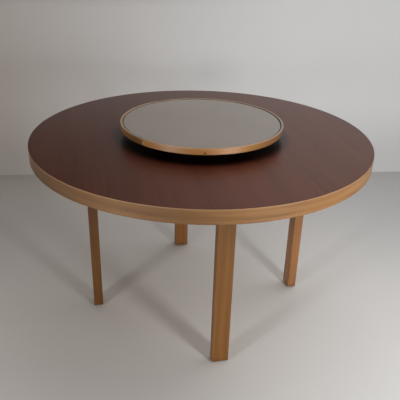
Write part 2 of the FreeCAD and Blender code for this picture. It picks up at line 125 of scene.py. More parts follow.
HONEY_SWAY = Figure(9.0, 1.3, 1.0)
HONEY_STREAK = Figure(48.0, 2.4, 2.0, share=1.7, bend=3.0)
HONEY_LINES = Figure(190.0, 3.0, 3.0, 0.62, share=1.7, bend=5.0)
HONEY_FINE = Figure(680.0, 11.0, 2.0, 0.6, share=0.6)
HONEY_CLOUD = Figure(6.0, 2.6, 2.0, share=0.8)
HONEY_FLECK = Figure(520.0, 48.0, 1.0)
HONEY_TONE_DROP = 1.9
HONEY_LACQUER = Lacquer(0.14, 0.08)
FLECK_EDGE = (0.63, 0.74)
FLECK_TINT = 0.4

FLAT_LINES = Figure(95.0, 1.6, 3.0, 0.6, share=0.9)
FLAT_FINE = Figure(640.0, 9.0, 2.0, share=0.3)
FLAT_BROAD = Figure(7.0, 1.4, 1.0, share=0.6)
FLAT_TONE_DROP = 0.4
FLAT_LACQUER = Lacquer(0.15, 0.1)
FLAT_DEPTH_SHIFT = 40.0
STRIP_SHIFT = 3.7


# Legs: the angle of each and its tone, as factors on red, green and blue, partly its own, partly painted light

LEG_ANGLES = {"back_right": 45.0, "back_left": 135.0, "front_left": 225.0, "front_right": 315.0}
# Painted light in the tones: the back-right leg, facing the key lamp, is paler; the front-left leg, far from it,
# deeper.
LEG_TONES_AND_LIGHT = {
    "back_right": (1.35, 1.38, 2.3),
    "back_left": (1.1, 0.98, 0.9),
    "front_left": (0.60, 0.56, 0.53),
    "front_right": (1.05, 1.02, 1.0),
}
LEG_SEED, KNEE_VENEER_SEED, SEED_STEP = 11.7, 41.7, 5.3
KNEE_VENEER_TINT = 0.8
# Painted shade: each leg deepens upwards towards the knee, under the top.
FOOT_LEVEL = 1.04
UNDER_TOP_SHADE = 0.42
UNDER_TOP_SHADE_EDGE = (0.15, 0.65)
# Legs darken towards the foot.
FOOT_DARK_EDGE = (6.0 * MM, 26.0 * MM)
FOOT_DARK_TINT = 0.35


# Bent rings: stretches of painted light and shade, each by its middle and reach in degrees and its change

class BentRing(NamedTuple):
    """A bent wood ring: outline, heights between which its joint shows, painted light and shade, and coat."""
    radius: float
    bottom: float
    top: float
    joint_span: tuple
    seed: float
    painted_light_stretches: tuple
    coat: dict


# Painted light and shade: each ring is paler where the lamps light it most and deeper where less light reaches.
EDGE_BAND = BentRing(
    TOP_RADIUS, UNDERSIDE, VENEER_UNDERSIDE, (UNDERSIDE - 5.0 * MM, VENEER_UNDERSIDE + 5.0 * MM), 2.3,
    ((-112.0, 35.0, -0.51), (-64.0, 17.0, -0.26), (-18.0, 42.0, 0.36)),
    {"Specular IOR Level": 0.72})
TURNTABLE_RIM = BentRing(
    RIM_RADIUS, RIM_BOTTOM, RIM_TOP, (RIM_BOTTOM + 5.0 * MM, RIM_TOP - 7.0 * MM), 7.9,
    ((-104.0, 30.0, -0.58), (-37.0, 24.0, 0.36), (14.0, 34.0, -0.45), (62.0, 50.0, -0.4)),
    {"Specular IOR Level": 1.0, "Coat Weight": 1.0, "Coat Roughness": 0.38})
RUBBED_DEPTH = (6.0 * MM, 0.5 * MM)
RUBBED_TINT = 0.35
# Rings darken towards their lower arris.
LOW_ARRIS_HEIGHT = (0.5 * MM, 5.0 * MM)
LOW_ARRIS_TINT = 0.5
JOINT_EDGE = (0.8 * MM, 1.6 * MM)
JOINT_TINT = 0.9


# Metals, plastics, felt, rubber and glass

class Speckle(NamedTuple):
    """A fine mottled finish: two tints, roughness and its spread, size of the mottling, metal, relief."""
    light: tuple
    dark: tuple
    gloss: float
    spread: float
    grain_size: float
    metallic: float = 0.0
    relief: float = 0.1


SCREW_STEEL = Speckle((0.52, 0.52, 0.53), (0.36, 0.36, 0.37), 0.38, 0.2, 2.0 * MM, metallic=1.0)
RIM_SCREW_BRASS = Speckle((0.035, 0.022, 0.011), (0.014, 0.009, 0.005), 0.55, 0.3, 1.2 * MM, metallic=1.0)
BALL_STEEL = Speckle((0.74, 0.74, 0.75), (0.64, 0.64, 0.66), 0.12, 0.08, 1.5 * MM, metallic=1.0, relief=0.02)
GLIDE_PLASTIC = Speckle((0.06, 0.048, 0.04), (0.035, 0.028, 0.023), 0.5, 0.2, 0.8 * MM)
CAGE_PLASTIC = Speckle((0.60, 0.58, 0.53), (0.50, 0.48, 0.43), 0.5, 0.2, 1.0 * MM)
PAD_RUBBER = Speckle((0.030, 0.030, 0.031), (0.014, 0.014, 0.015), 0.72, 0.2, 0.8 * MM)
FELT = Speckle((0.08, 0.07, 0.068), (0.03, 0.026, 0.026), 0.92, 0.1, 0.6 * MM)

SPECKLE_DETAIL, SPECKLE_ROUGHNESS = 3.0, 0.6

RIDGES_PER_METRE = 4200.0
RIDGE_SPREAD = 0.2
RIDGE_RELIEF = 0.08
RIDGE_HEIGHT = 0.1 * MM
METAL_CLOUDS_PER_METRE = 60.0
STAIN_STREAK = 1.5

GLASS_IOR = 1.5
PANE_CLOUDS_PER_METRE = 5.0
PANE_CLOUD_DETAIL = 3.0
PANE_UNEVEN = 0.08
GROUND_EDGE = (PANE_RADIUS - 2.6 * MM, PANE_RADIUS - 0.7 * MM)
WIPING_PER_METRE = (22.0, 70.0)
WIPING_SEED = 3.0
WIPING_SPREAD = 0.05


# Screws: shares of the head and shank, and how each slot happens to lie

HEAD_SHARE = 0.55
HEAD_OVERLAP = 0.98
POINT_SHARE = 0.1
SLOT_WIDTH_SHARE = 0.2
SLOT_DEPTH_SHARE = 0.7
SCREW_SEGMENTS = 32
HEAD_ROWS = 12
OUTER_CHORD = 0.995
CHORD_PARTING = 0.02
SHARP_ANGLE = math.radians(30.0)
NEARLY_UPRIGHT = 0.99
LEG_SLOT_TURN, LEG_SLOT_STEP, PAIR_SLOT_STEP = 0.7, 1.9, 2.6
RIM_SLOT_TURN, RIM_SLOT_STEP = 0.5, 1.1
RIM_SCREW_COUNT = 4


# Stage: directions as the camera sees them, and edges between which a tone changes

VIEW_TURN = math.radians(33.0)
RIGHT = np.array((math.cos(VIEW_TURN), math.sin(VIEW_TURN), 0.0))
BACK = np.array((-math.sin(VIEW_TURN), math.cos(VIEW_TURN), 0.0))
UP = np.array((0.0, 0.0, 1.0))

PLASTER_MOTTLE_PER_METRE = 6.0
PLASTER_UNEVEN = 0.06
PLASTER_LOW_REACH = 1.1
PLASTER_LOW_DROP = 0.1

FLOOR_REACH = 30.0
FLOOR_ROUGHNESS = 0.8
# Painted shade on the floor towards the left of the room.
FLOOR_SHADE_EDGE = (-1.4, 0.9)
# Painted light and shade on the floor: paler in front and far back, darker in a band behind the table's middle,
# away from the right.
SHADE_BAND_FRONT = (-0.4, 0.4)
SHADE_BAND_BACK = (0.5, 1.1)
SHADE_BAND_RIGHT = (0.1, 0.7)
PAINTED_LIGHT_LIFT = 0.26
PAINTED_SHADE_DROP = 0.1

WALL_REACH = 7.0
WALL_AWAY = 1.30
WALL_HEIGHT = 1.4
WALL_TURN = math.radians(5.5)
WALL_ROUGHNESS = 0.9
WALL_EDGE = (-1.6, 0.7)
WALL_FOOT_EDGE = (0.1, 0.5)
WALL_FOOT_DROP = 0.22
DUSK_HEIGHT = (1.0, 1.15)
DUSK_SIDE = (-1.2, 0.6)
DUSK_DROP = 0.8

BRIGHT_SIDE = 0.45 * RIGHT + 0.95 * BACK + 0.65 * UP
BRIGHT_EDGE = (0.35, 1.0)
PALE_SIDE = 0.7 * RIGHT + 0.65 * BACK + 0.1 * UP
PALE_EDGE = (0.40, 0.85)
BACKDROP_SHARE = 0.75


class Lamp(NamedTuple):
    """Where a square lamp stands, where it looks and how wide it is."""
    place: tuple
    target: tuple
    size: float


KEY_LAMP = Lamp((2.14, -0.84, 0.79), (0.3, 0.7, 0.5), 0.34)
FILL_LAMP = Lamp((-0.24, -2.95, 0.79), (0.0, 0.0, 0.5), 0.36)
LAMP_SPREAD = math.radians(110.0)

CAMERA_PLACE = (1.0619, -1.6376, 1.3933)
CAMERA_HEADING = math.radians(32.92)
CAMERA_DIP = math.radians(25.95)
CAMERA_ROLL = 0.030
SENSOR_WIDTH = 36.0


# Properties that a user would change

def colour(name, description, value):
    return FloatVectorProperty(
        name=name, description=description, subtype="COLOR", size=3, min=0.0, max=1.0, default=value)


def length(name, description, value):
    return FloatProperty(
        name=name, description=description, unit="LENGTH", subtype="DISTANCE", min=0.0, precision=4, default=value)


def angle(name, description, degrees):
    return FloatProperty(name=name, description=description, subtype="ANGLE", default=math.radians(degrees))


def share(name, description, value):
    return FloatProperty(name=name, description=description, subtype="FACTOR", min=0.0, max=1.0, default=value)


def level(name, description, value):
    return FloatProperty(name=name, description=description, min=0.0, soft_max=4.0, default=value)


def power(name, description, value):
    return FloatProperty(name=name, description=description, unit="POWER", min=0.0, default=value)


class FaceVeneerSettings(bpy.types.PropertyGroup):
    light: colour("Light streaks", "Lighter streaks of the brown-red face veneer", (0.165, 0.044, 0.0225))
    dark: colour("Dark streaks", "Darker streaks of the face veneer", (0.068, 0.0165, 0.0085))
    pore: colour("Pores", "Short open pores of the face veneer", (0.028, 0.008, 0.005))
    leaf_width: length("Leaf width", "Width of one leaf of veneer", 0.178)
    grain_turn: angle("Grain direction", "Turn that brings the grain onto the Y axis", -45.0)
    # Painted light: the top is paler towards the lit side and deeper on the dim side.
    lit_side: angle("Sunny side", "Side of the top that the sun has faded, from the X axis", 33.0)
    painted_dim_side: level("Shaded side", "Depth of the tint on the side that got little sun", 0.76)
    painted_lit_side: level("Sunned side", "Depth of the tint on the side that the sun has faded", 1.32)
    # Painted shadow under and round the turntable.
    painted_shadow: level("Covered middle", "Depth of the tint under the turntable, out of the sun", 0.1)
    gloss: share("Roughness", "Roughness of the satin lacquer", 0.30)


class HoneyWoodSettings(bpy.types.PropertyGroup):
    band_light: colour("Band, light grain", "Lighter grain of the edge band", (0.315, 0.150, 0.043))
    band_dark: colour("Band, dark grain", "Darker grain of the edge band", (0.175, 0.074, 0.0155))
    rim_light: colour("Rim, light grain", "Lighter grain of the turntable's rim", (0.46, 0.206, 0.045))
    rim_dark: colour("Rim, dark grain", "Darker grain of the turntable's rim", (0.29, 0.118, 0.019))
    leg_light: colour("Legs, light grain", "Lighter grain of the legs", (0.265, 0.113, 0.021))
    leg_dark: colour("Legs, dark grain", "Darker grain of the legs", (0.17, 0.065, 0.008))
    fleck: colour("Flecks", "Short dark flecks in the wood", (0.12, 0.044, 0.012))
    worn: colour("Worn arris", "Pale wood where an arris is rubbed", (0.60, 0.40, 0.23))
    knee_veneer: colour("Knee veneers", "Thin strips glued into the bent knee", (0.24, 0.115, 0.045))
    joint: colour("Joint filler", "Filler in the joint of the turntable's rim", (0.85, 0.72, 0.55))
    gloss: share("Roughness", "Roughness of the lacquer on the legs", 0.42)
    band_gloss: share("Band roughness", "Roughness of the lacquer on the edge band", 0.36)
    rim_gloss: share("Rim roughness", "Roughness of the lacquer on the turntable's rim", 0.40)
    rim_joint: angle("Rim joint", "Where the ends of the bent rim meet", -97.5)
    band_joint: angle("Band joint", "Where the ends of the edge band meet", 118.0)


class LegSettings(bpy.types.PropertyGroup):
    circle: length("Leg circle", "Middle of the table to the middle of a leg", 0.418)
    thickness: length("Leg thickness", "Leg from its inner to its outer face", 0.036)
    knee_radius: length("Knee radius", "Inner face of the bent knee", 0.045)
    screw_near: length("Inner screws", "Middle of the table to the inner pair of arm screws", 0.190)
    screw_far: length("Outer screws", "Middle of the table to the outer pair of arm screws", 0.300)
    screw_spread: length("Screw spread", "Between the two screws of a pair", 0.028)
    screw_head: length("Screw head", "Diameter of an arm screw's head", 0.011)
    screw_shank: length("Screw shank", "Diameter of an arm screw's shank", 0.006)
    screw_length: length("Screw length", "Length of an arm screw", 0.058)


class TurntableSettings(bpy.types.PropertyGroup):
    pane: colour("Pane", "Warm grey back of the pane", (0.335, 0.283, 0.248))
    pane_edge: colour("Pane edge", "Ground edge of the pane", (0.25, 0.29, 0.25))
    pane_gloss: share("Pane roughness", "Roughness of the glass", 0.12)
    # Painted shade: the near-black stain stands in for the deep shade under the turntable.
    base: colour("Base stain", "Dark stain of the turntable's base and panel", (0.022, 0.015, 0.011))
    screw_turn: angle("Screw turn", "Angle of the first rim screw from the X axis", 35.4)
    screw_head: length("Screw head", "Diameter of a rim screw's head", 0.006)
    screw_shank: length("Screw shank", "Diameter of a rim screw's shank", 0.003)
    screw_length: length("Screw length", "Length of a rim screw", 0.024)


class StageSettings(bpy.types.PropertyGroup):
    floor: colour("Floor", "Plain pale floor", (0.80, 0.798, 0.795))
    # Painted shade: the floor is darker to the left, where the room is dim.
    painted_shade_floor: colour("Floor to the left", "Floor to the left of the room", (0.59, 0.555, 0.525))
    wall_paint: colour("Backdrop paint", "Paint of the backdrop", (0.22, 0.22, 0.22))
    wall: colour("Backdrop glow", "Even light that the backdrop gives", (0.42, 0.417, 0.412))
    dim_wall: colour("Backdrop glow to the left", "Light of the backdrop to the left", (0.175, 0.147, 0.127))
    sky: colour("Room light", "Light from the walls and ceiling", (1.0, 0.985, 0.965))
    sky_strength: level("Room light level", "Level of the light from above and behind the table", 1.82)
    dim_strength: level("Dim side level", "Level of the light from behind the camera", 0.11)
    mirrored: colour("Mirrored room", "Pale side of the room that the gloss shows", (0.63, 0.595, 0.55))
    dim_mirrored: colour("Mirrored dim side", "Dim side of the room that the gloss shows", (0.04, 0.02, 0.01))
    key_power: power("Key lamp", "Soft lamp to the right of the camera", 10.5)
    fill_power: power("Fill lamp", "Soft lamp to the left of the camera", 8.7)
    lens: FloatProperty(
        name="Lens", description="Focal length of the camera", unit="CAMERA", min=1.0, default=49.24)


class DiningTableSettings(bpy.types.PropertyGroup):
    veneer: PointerProperty(type=FaceVeneerSettings, name="Face veneer", description="Finish of the table top")
    honey: PointerProperty(type=HoneyWoodSettings, name="Honey wood", description="Finish of band, rim and legs")
    legs: PointerProperty(type=LegSettings, name="Legs", description="Sizes of the bent legs and their screws")
    turntable: PointerProperty(type=TurntableSettings, name="Turntable", description="Pane, base and rim screws")
    stage: PointerProperty(type=StageSettings, name="Stage", description="Floor, lamps and camera")


def table_settings():
    return bpy.context.scene.dining_table


# Shader expressions

class Socket:
    """An output of a shader node. Operators on it, also with plain numbers, add Math nodes."""

    def __init__(self, board, output):
        self.board = board
        self.output = output

    def out(self, name):
        """Another output of the same node."""
        return Socket(self.board, self.output.node.outputs[name])

    def worked(self, operation, first, second):
        return self.board.node("ShaderNodeMath", {"operation": operation}, {0: first, 1: second})

    def __add__(self, other):
        return self.worked("ADD", self, other)

    def __radd__(self, other):
        return self.worked("ADD", other, self)

    def __sub__(self, other):
        return self.worked("SUBTRACT", self, other)

    def __rsub__(self, other):
        return self.worked("SUBTRACT", other, self)

    def __mul__(self, other):
        return self.worked("MULTIPLY", self, other)

    def __rmul__(self, other):
        return self.worked("MULTIPLY", other, self)

    def __truediv__(self, other):
        return self.worked("DIVIDE", self, other)

    def __rtruediv__(self, other):
        return self.worked("DIVIDE", other, self)


class Board:
    """A node tree, and the one method that adds nodes to it."""

    def __init__(self, tree):
        self.tree = tree

    def node(self, kind, settings=None, sockets=None, output=0):
        """Adds a node: its settings first, then values or links of its sockets. Returns one output."""
        node = self.tree.nodes.new(kind)
        for name, value in (settings or {}).items():
            setattr(node, name, value)
        for key, value in (sockets or {}).items():
            self.feed(node.inputs[key], value)
        return Socket(self, node.outputs[output])

    def feed(self, target, value):
        """Links a socket to an input, or sets the input's own value."""
        if isinstance(value, Socket):
            self.tree.links.new(value.output, target)
        else:
            target.default_value = value

    def place(self, turn=0.0):
        """Object coordinates, turned about Z, as three sockets."""
        coordinates = self.node("ShaderNodeTexCoord", output="Object")
        turned = self.node("ShaderNodeMapping", {}, {"Vector": coordinates, "Rotation": (0.0, 0.0, turn)})
        parts = self.node("ShaderNodeSeparateXYZ", {}, {"Vector": turned}, "X")
        return parts, parts.out("Y"), parts.out("Z")

    def root(self, value):
        return self.node("ShaderNodeMath", {"operation": "SQRT"}, {0: value})

    def size(self, value):
        return self.node("ShaderNodeMath", {"operation": "ABSOLUTE"}, {0: value})

    def whole(self, value):
        return self.node("ShaderNodeMath", {"operation": "FLOOR"}, {0: value})

    def least(self, first, second):
        return self.node("ShaderNodeMath", {"operation": "MINIMUM"}, {0: first, 1: second})

    def most(self, first, second):
        return self.node("ShaderNodeMath", {"operation": "MAXIMUM"}, {0: first, 1: second})

    def bearing(self, up, along):
        """Angle of the point (along, up) from the first axis."""
        return self.node("ShaderNodeMath", {"operation": "ARCTAN2"}, {0: up, 1: along})

    def ease(self, value, start, end):
        """0 before start, 1 after end, and smooth between them. With start above end it falls instead."""
        sockets = {"Value": value, "From Min": start, "From Max": end, "To Min": 0.0, "To Max": 1.0}
        return self.node("ShaderNodeMapRange", {"interpolation_type": "SMOOTHSTEP"}, sockets)

    def hump(self, value, centre, reach):
        """1 at the centre, falling smoothly to 0 at a reach on both sides."""
        return 1.0 - self.ease(self.size(value - centre), 0.0, reach)

    def noise(self, x, y, z, detail=2.0, roughness=0.5):
        """Noise about 0.5 at a point that is given in noise units."""
        vector = self.node("ShaderNodeCombineXYZ", {}, {"X": x, "Y": y, "Z": z})
        sockets = {"Vector": vector, "Scale": 1.0, "Detail": detail, "Roughness": roughness}
        return self.node("ShaderNodeTexNoise", {"noise_dimensions": "3D"}, sockets, "Fac")

    def chance(self, number):
        """A steady random value for a number."""
        return self.node("ShaderNodeTexWhiteNoise", {"noise_dimensions": "1D"}, {"W": number}, "Value")

    def along(self, vector, way):
        """Length of a vector along a way."""
        unit = way / np.linalg.norm(way)
        return self.node("ShaderNodeVectorMath", {"operation": "DOT_PRODUCT"}, {0: vector, 1: unit}, "Value")

    def blend(self, amount, first, second):
        """Colour between two colours, given as sockets or as red, green and blue."""
        sockets = {0: amount, 6: opaque(first), 7: opaque(second)}
        return self.node("ShaderNodeMix", {"data_type": "RGBA", "clamp_factor": True}, sockets, 2)

    def shade(self, tint, amount):
        """Colour made paler or deeper by an amount."""
        return self.node("ShaderNodeVectorMath", {"operation": "SCALE"}, {0: tint, "Scale": amount}, "Vector")

    def bump(self, height, strength, distance):
        return self.node("ShaderNodeBump", {}, {"Height": height, "Strength": strength, "Distance": distance})


def opaque(tint):
    return tint if isinstance(tint, Socket) else (*tint, 1.0)


def scaled(tint, amount):
    """Plain colour made paler or deeper by an amount."""
    return tuple(amount * part for part in tint)


class Paint(Board):
    """A material with its Principled shader. Fixed values go straight onto the shader's sockets."""

    def __init__(self, name, fixed=None):
        self.material = bpy.data.materials.new(name)
        self.material.use_nodes = True
        super().__init__(self.material.node_tree)
        self.shader = self.tree.nodes["Principled BSDF"]
        self.set(fixed or {})

    def set(self, values):
        for key, value in values.items():
            self.feed(self.shader.inputs[key], value)

    def finished(self, tint, gloss, uneven, spread, relief, strength, height):
        """Sets tint, roughness that varies with an uneven value about 0.5, and relief. Returns the material."""
        self.set({
            "Base Color": tint,
            "Roughness": gloss + (uneven - 0.5) * spread,
            "Normal": self.bump(relief, strength, height),
        })
        return self.material


def dress(node, material):
    """Gives a CAD node its material."""
    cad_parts[node].material_slots[0].material = material


# Finishes

def toned(layers, drop):
    """Tone of a wood: the sum of its layers by their shares, less a drop."""
    return sum(layer * figure.share for layer, figure in layers) - drop


def face_veneer_paint(veneer):
    """Leaves of straight-grained veneer: ribbons, streaks and pores stretched along the grain.

    Painted shadow keeps the tint deep under the turntable and just round it; outside, painted light pales it
    towards the lit side.
    """
    paint = Paint("face_veneer", {"Specular IOR Level": VENEER_SPECULAR})
    across, along, _ = paint.place(veneer.grain_turn)

    def figured(figure, sideways, shift):
        return paint.noise(
            sideways * figure.across, along * figure.along, shift, figure.detail, figure.roughness)

    leaf = paint.whole(across / veneer.leaf_width + 0.5)
    shift = leaf * LEAF_SHIFT
    path = across + (figured(VENEER_SWAY, across, 0.0) - 0.5) * VENEER_SWAY_REACH
    ribbon = figured(VENEER_RIBBON, path, 0.0)
    streak = figured(VENEER_STREAK, path, shift)
    fine = figured(VENEER_FINE, path, shift)
    pore = paint.ease(figured(VENEER_PORE, path, shift), *PORE_EDGE)
    layers = ((ribbon, VENEER_RIBBON), (streak, VENEER_STREAK), (fine, VENEER_FINE))
    tone = toned(layers, VENEER_TONE_DROP) + paint.chance(leaf) * LEAF_SHARE
    tint = paint.blend(tone, veneer.dark, veneer.light)
    tint = paint.blend(pore * PORE_TINT, tint, veneer.pore)
    # Painted light: paler towards the lit side, deeper on the dim side.
    toward_lit_side, _, _ = paint.place(-veneer.lit_side)
    painted_side_light = paint.ease(toward_lit_side, *LIT_SIDE_EDGE) * (veneer.painted_lit_side - veneer.painted_dim_side) + veneer.painted_dim_side
    # Painted shadow of the turntable: deep under it, fading out just past its rim.
    outside_shadow = paint.ease(paint.root(across * across + along * along), *TURNTABLE_SHADOW_EDGE)
    tint = paint.shade(tint, (painted_side_light - veneer.painted_shadow) * outside_shadow + veneer.painted_shadow)
    return paint.finished(
        tint, veneer.gloss, fine, VENEER_LACQUER.spread, fine - pore * PORE_DEPTH, VENEER_LACQUER.relief,
        GRAIN_HEIGHT)


def honey_grain(paint, light, dark, fleck_tint, depth, width, along, seed):
    """Honey wood at a point given by depth and width in the section and the way along the piece.

    Returns its tint and its fine grain.
    """
    def figured(figure, depth_shift, width_shift):
        return paint.noise(
            depth * figure.across + depth_shift, width * figure.across + width_shift, along * figure.along,
            figure.detail, figure.roughness)

    sway = figured(HONEY_SWAY, seed, 0.0) - 0.5
    streak = figured(HONEY_STREAK, sway * HONEY_STREAK.bend, seed)
    lines = figured(HONEY_LINES, sway * HONEY_LINES.bend, seed)
    fine = figured(HONEY_FINE, 0.0, seed)
    cloud = figured(HONEY_CLOUD, seed, 0.0)
    fleck = paint.ease(figured(HONEY_FLECK, 0.0, seed), *FLECK_EDGE)
    layers = ((streak, HONEY_STREAK), (lines, HONEY_LINES), (fine, HONEY_FINE), (cloud, HONEY_CLOUD))
    tint = paint.blend(toned(layers, HONEY_TONE_DROP), dark, light)
    return paint.blend(fleck * FLECK_TINT, tint, fleck_tint), fine


def finish_honey(paint, tint, gloss, fine):
    return paint.finished(tint, gloss, fine, HONEY_LACQUER.spread, fine, HONEY_LACQUER.relief, GRAIN_HEIGHT)


def bent_ring_paint(name, ring, honey, tints, gloss, joint, filler):
    """Honey wood bent into a ring: the grain runs round from the joint, which filler closes.

    Painted light and shade make it paler or deeper by stretches; it is rubbed on its upper arris, darker on its
    lower one.
    """
    paint = Paint(name, ring.coat)
    away_from_joint = math.pi - joint
    x, y, z = paint.place(away_from_joint)
    bearing = paint.bearing(y, x)
    depth = paint.root(x * x + y * y)
    tint, fine = honey_grain(paint, *tints, honey.fleck, depth, z, bearing * ring.radius, ring.seed)
    # Painted light and shade: paler stretches where the lamps' highlights fall, deeper ones away from the light.
    painted_light = 1.0
    for middle, reach, change in ring.painted_light_stretches:
        centre = math.remainder(math.radians(middle) + away_from_joint, 2 * math.pi)
        painted_light = painted_light + paint.hump(bearing, centre, math.radians(reach)) * change
    tint = paint.shade(tint, painted_light)
    rubbed = paint.ease(z, *(ring.top - below for below in RUBBED_DEPTH))
    # Darker towards the lower arris.
    darker_low_arris = 1.0 - paint.ease(z, *(ring.bottom + above for above in LOW_ARRIS_HEIGHT))
    tint = paint.blend(rubbed * RUBBED_TINT, tint, honey.worn)
    tint = paint.blend(darker_low_arris * LOW_ARRIS_TINT, tint, honey.fleck)
    off_joint = (math.pi - paint.size(bearing)) * ring.radius
    line = 1.0 - paint.ease(off_joint, *JOINT_EDGE)
    begins, ends = (paint.ease(z, height - MM, height + MM) for height in ring.joint_span)
    tint = paint.blend(line * begins * (1.0 - ends) * JOINT_TINT, tint, filler)
    return finish_honey(paint, tint, gloss, fine)


def bent_leg_paint(name, honey, legs, turn, tone, seed, tinted=None):
    """Honey wood whose grain follows the leg up, round the knee and along the arm.

    The bend's centre lies inside the knee. Depth is the distance from that centre, measured only to
    the outside of it and only above it, so all the way it is the knee's radius and the distance from the
    inner face. The way along is the height below the bend, then the arc, then the length of the arm.
    """
    paint = Paint(name)
    x, y, z = paint.place(-turn)
    bend_reach = legs.circle - legs.thickness / 2 - legs.knee_radius
    bend_level = UNDERSIDE - legs.thickness - legs.knee_radius
    outside = paint.most(x - bend_reach, 0.0)
    above = paint.most(z - bend_level, 0.0)
    depth = paint.root(outside * outside + above * above)
    arc = paint.bearing(above, outside) * (legs.knee_radius + legs.thickness / 2)
    along = paint.least(z, bend_level) + arc + paint.most(bend_reach - x, 0.0)
    # Each leg's tone, partly its own and partly painted light, scales its grain tints.
    light, dark = (tuple(np.multiply(tone, shade)) for shade in (honey.leg_light, honey.leg_dark))
    tint, fine = honey_grain(paint, light, dark, honey.fleck, depth, y, along, seed)
    if tinted is not None:
        tint = paint.blend(KNEE_VENEER_TINT, tint, tinted)
    # Painted shade: deeper upwards towards the knee, where the top overhangs the leg.
    tint = paint.shade(tint, FOOT_LEVEL - paint.ease(z, *UNDER_TOP_SHADE_EDGE) * UNDER_TOP_SHADE)
    # Darker towards the foot.
    darker_foot = 1.0 - paint.ease(z, *FOOT_DARK_EDGE)
    tint = paint.blend(darker_foot * FOOT_DARK_TINT, tint, honey.fleck)
    return finish_honey(paint, tint, honey.gloss, fine)


def flat_wood_paint(name, light, dark, gloss, strip_width=0.0):
    """Plain flat wood with its grain along X, in glued strips where a strip width is given."""
    paint = Paint(name)
    x, y, z = paint.place()
    shift = paint.whole(y / strip_width) * STRIP_SHIFT if strip_width else z * FLAT_DEPTH_SHIFT
    figures = (FLAT_LINES, FLAT_FINE, FLAT_BROAD)
    lines, fine, broad = (
        paint.noise(x * figure.along, y * figure.across, shift, figure.detail, figure.roughness)
        for figure in figures)
    tint = paint.blend(toned(zip((lines, fine, broad), figures), FLAT_TONE_DROP), dark, light)
    return paint.finished(tint, gloss, fine, FLAT_LACQUER.spread, fine, FLAT_LACQUER.relief, GRAIN_HEIGHT)


def speckled_paint(name, finish):
    """A fine mottled finish: two tints mixed by noise of a given grain size."""
    paint = Paint(name, {"Metallic": finish.metallic})
    x, y, z = paint.place()
    pitch = 1.0 / finish.grain_size
    mottle = paint.noise(x * pitch, y * pitch, z * pitch, SPECKLE_DETAIL, SPECKLE_ROUGHNESS)
    tint = paint.blend(mottle, finish.dark, finish.light)
    return paint.finished(tint, finish.gloss, mottle, finish.spread, mottle, finish.relief, finish.grain_size)


def turned_metal_paint(name, light, dark, gloss):
    """Turned metal: fine ridges in rings about the Z axis."""
    paint = Paint(name, {"Metallic": 1.0})
    x, y, z = paint.place()
    reach = paint.root(x * x + y * y)
    ridges = paint.noise(reach * RIDGES_PER_METRE, z * RIDGES_PER_METRE, 0.0)
    cloud = paint.noise(*(part * METAL_CLOUDS_PER_METRE for part in (x, y, z)))
    tint = paint.blend(cloud, dark, light)
    return paint.finished(tint, gloss, ridges, RIDGE_SPREAD, ridges, RIDGE_RELIEF, RIDGE_HEIGHT)


def pane_paint(turntable):
    """Clear glass over a warm grey back, with a greenish ground edge and faint wiping marks."""
    paint = Paint("pane", {"IOR": GLASS_IOR})
    x, y, _ = paint.place()
    cloud = paint.noise(x * PANE_CLOUDS_PER_METRE, y * PANE_CLOUDS_PER_METRE, 0.0, PANE_CLOUD_DETAIL)
    wiped = paint.noise(x * WIPING_PER_METRE[0], y * WIPING_PER_METRE[1], WIPING_SEED)
    darker, lighter = (scaled(turntable.pane, 1.0 + change) for change in (-PANE_UNEVEN, PANE_UNEVEN))
    edge = paint.ease(paint.root(x * x + y * y), *GROUND_EDGE)
    tint = paint.blend(cloud, darker, lighter)
    tint = paint.blend(edge, tint, turntable.pane_edge)
    paint.set({"Base Color": tint, "Roughness": turntable.pane_gloss + (wiped - 0.5) * WIPING_SPREAD})
    return paint.material


# Numpy surfaces. A shell is its vertices and one or more arrays of faces.

def skin(rings):
    """Closed skin over rings of points (rings, points, 3): quads between neighbours, a fan at each end."""
    count, points = rings.shape[:2]
    vertices = np.concatenate([rings.reshape(-1, 3), rings[0].mean(0)[None], rings[-1].mean(0)[None]])
    ring, point = np.meshgrid(np.arange(count - 1), np.arange(points), indexing="ij")
    here, there = ring * points, (ring + 1) * points
    after = (point + 1) % points
    quads = np.stack((here + point, here + after, there + after, there + point), axis=-1).reshape(-1, 4)
    first = np.arange(points)
    following = (first + 1) % points
    last = (count - 1) * points
    start_fan = np.stack([following, first, np.full(points, count * points)], axis=-1)
    end_fan = np.stack([last + first, last + following, np.full(points, count * points + 1)], axis=-1)
    return vertices, quads, start_fan, end_fan


def lathe(profile, segments):
    """Surface turned about Z: each profile point (radius, height) carried round a full circle."""
    profile = np.asarray(profile, float)
    turn = np.linspace(0.0, 2 * np.pi, segments, endpoint=False)
    radius, height = profile[:, :1], profile[:, 1:]
    shape = (radius * np.cos(turn), radius * np.sin(turn), np.broadcast_to(height, (len(profile), segments)))
    return skin(np.stack(shape, axis=-1))


def half_chord(radius, away):
    """Half the chord at a distance from a circle's centre, by Pythagoras, never quite 0."""
    return np.sqrt(radius ** 2 - np.minimum(np.abs(away), OUTER_CHORD * radius) ** 2)


